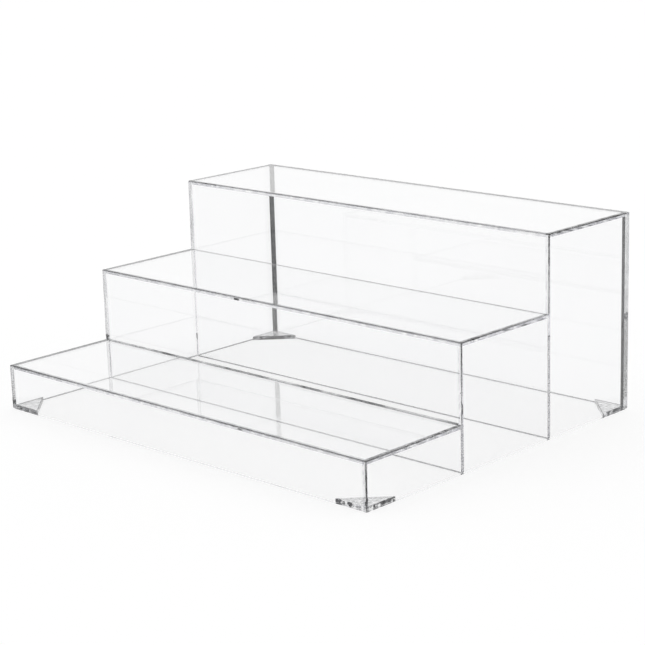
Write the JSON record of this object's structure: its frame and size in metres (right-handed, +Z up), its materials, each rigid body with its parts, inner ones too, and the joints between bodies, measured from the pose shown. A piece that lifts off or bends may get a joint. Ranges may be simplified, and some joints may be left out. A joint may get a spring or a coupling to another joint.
{
  "type": "tiered shelf riser",
  "caption": "Stepped display riser of clear acrylic sheet: stair-shaped sides, with risers, treads and a back panel bonded to them and small gussets in the bottom corners.",
  "frame": {"origin": "on the surface it stands on, under the middle of the riser's width and depth", "axes": "+X to the right along the width, -Y to the front (the lowest step), +Z up"},
  "size_m": [0.3, 0.234, 0.121],
  "materials": {
    "acrylic_side": "water-clear cast acrylic, gloss faces, polished edges",
    "acrylic_riser": "water-clear cast acrylic, gloss faces, polished edges",
    "acrylic_tread": "water-clear cast acrylic, gloss faces, polished edges",
    "acrylic_back": "water-clear cast acrylic, gloss faces, polished edges",
    "acrylic_gusset": "water-clear cast acrylic, gloss faces, saw-cut hypotenuse"
  },
  "bodies": {
    "root": {"side_left": "acrylic_side", "side_right": "acrylic_side", "riser_1": "acrylic_riser", "riser_2": "acrylic_riser", "riser_3": "acrylic_riser", "tread_1": "acrylic_tread", "tread_2": "acrylic_tread", "tread_3": "acrylic_tread", "back_panel": "acrylic_back", "gusset_front_left": "acrylic_gusset", "gusset_front_right": "acrylic_gusset", "gusset_back_right": "acrylic_gusset", "gusset_back_left": "acrylic_gusset"}
  },
  "joints": []
}
